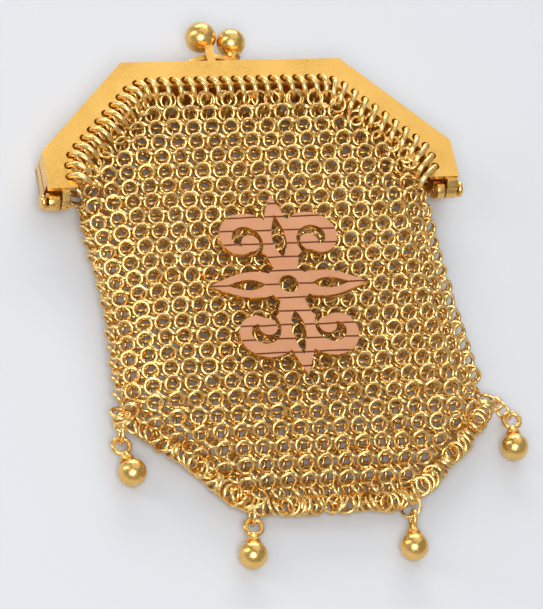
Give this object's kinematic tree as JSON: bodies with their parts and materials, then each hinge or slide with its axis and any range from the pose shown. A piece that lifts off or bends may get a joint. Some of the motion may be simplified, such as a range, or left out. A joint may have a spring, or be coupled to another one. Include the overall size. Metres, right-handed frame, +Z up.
{
  "type": "metal mesh purse",
  "caption": "Small gold mesh purse with a hinged angular frame, ball clasp, coiled wire lacing, a pierced front ornament and ball drops at the hem.",
  "frame": {"origin": "centre of the whole purse's box in plan, on the surface that it lies on", "axes": "+X across the purse, +Y from the hem towards the clasp, +Z up out of its front"},
  "size_m": [0.061, 0.0838, 0.0082],
  "materials": {
    "frame": null,
    "polished": null,
    "wire": null,
    "mesh": null,
    "ornament": null
  },
  "bodies": {
    "root": {"front_frame": "frame", "back_frame": "frame", "hinge_pin_left": "polished", "hinge_pin_right": "polished", "front_lacing": "wire", "back_lacing": "wire", "mesh_bag": "mesh", "ornament": "ornament", "drop_1": "polished", "drop_link_1": "wire", "drop_2": "polished", "drop_link_2": "wire", "drop_3": "polished", "drop_link_3": "wire", "drop_4": "polished", "drop_link_4": "wire"}
  },
  "joints": []
}
